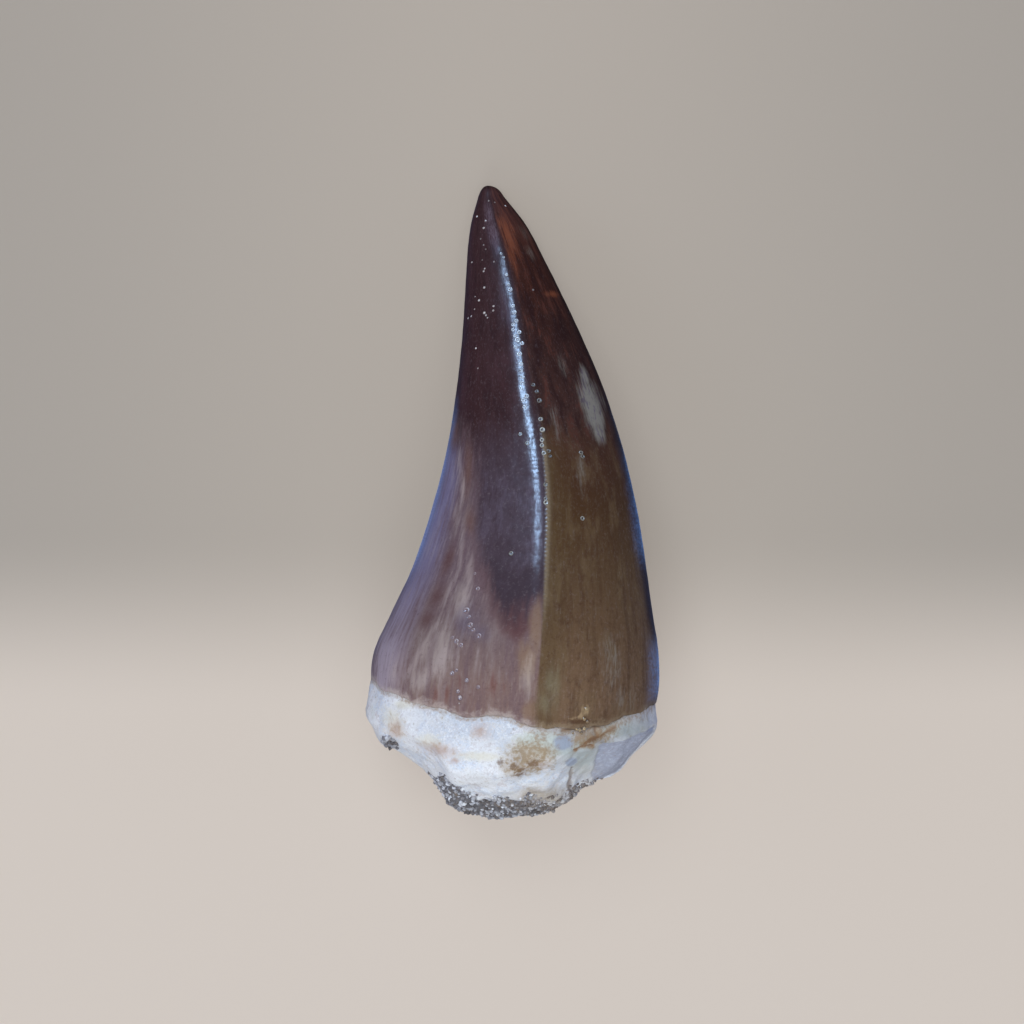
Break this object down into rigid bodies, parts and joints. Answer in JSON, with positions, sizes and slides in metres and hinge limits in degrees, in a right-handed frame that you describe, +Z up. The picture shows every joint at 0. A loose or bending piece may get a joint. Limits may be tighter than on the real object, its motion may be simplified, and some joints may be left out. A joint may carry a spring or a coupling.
{
  "type": "fossil mosasaur tooth",
  "caption": "Curved conical fossil reptile tooth with a glossy keeled enamel crown on a broken, sand-crusted stub of bone, lying down.",
  "frame": {"origin": "centre of the bounding box at its bottom, on the surface that the tooth lies on", "axes": "+Y along the tooth from the broken root to the point, +Z up out of the front cutting edge, +X to the right when seen from above with the point away"},
  "size_m": [0.0232, 0.05, 0.0185],
  "materials": {
    "enamel": "gloss",
    "bone": "matte",
    "sand_crust": "matte"
  },
  "bodies": {
    "root": {"tooth": "enamel"}
  },
  "joints": []
}
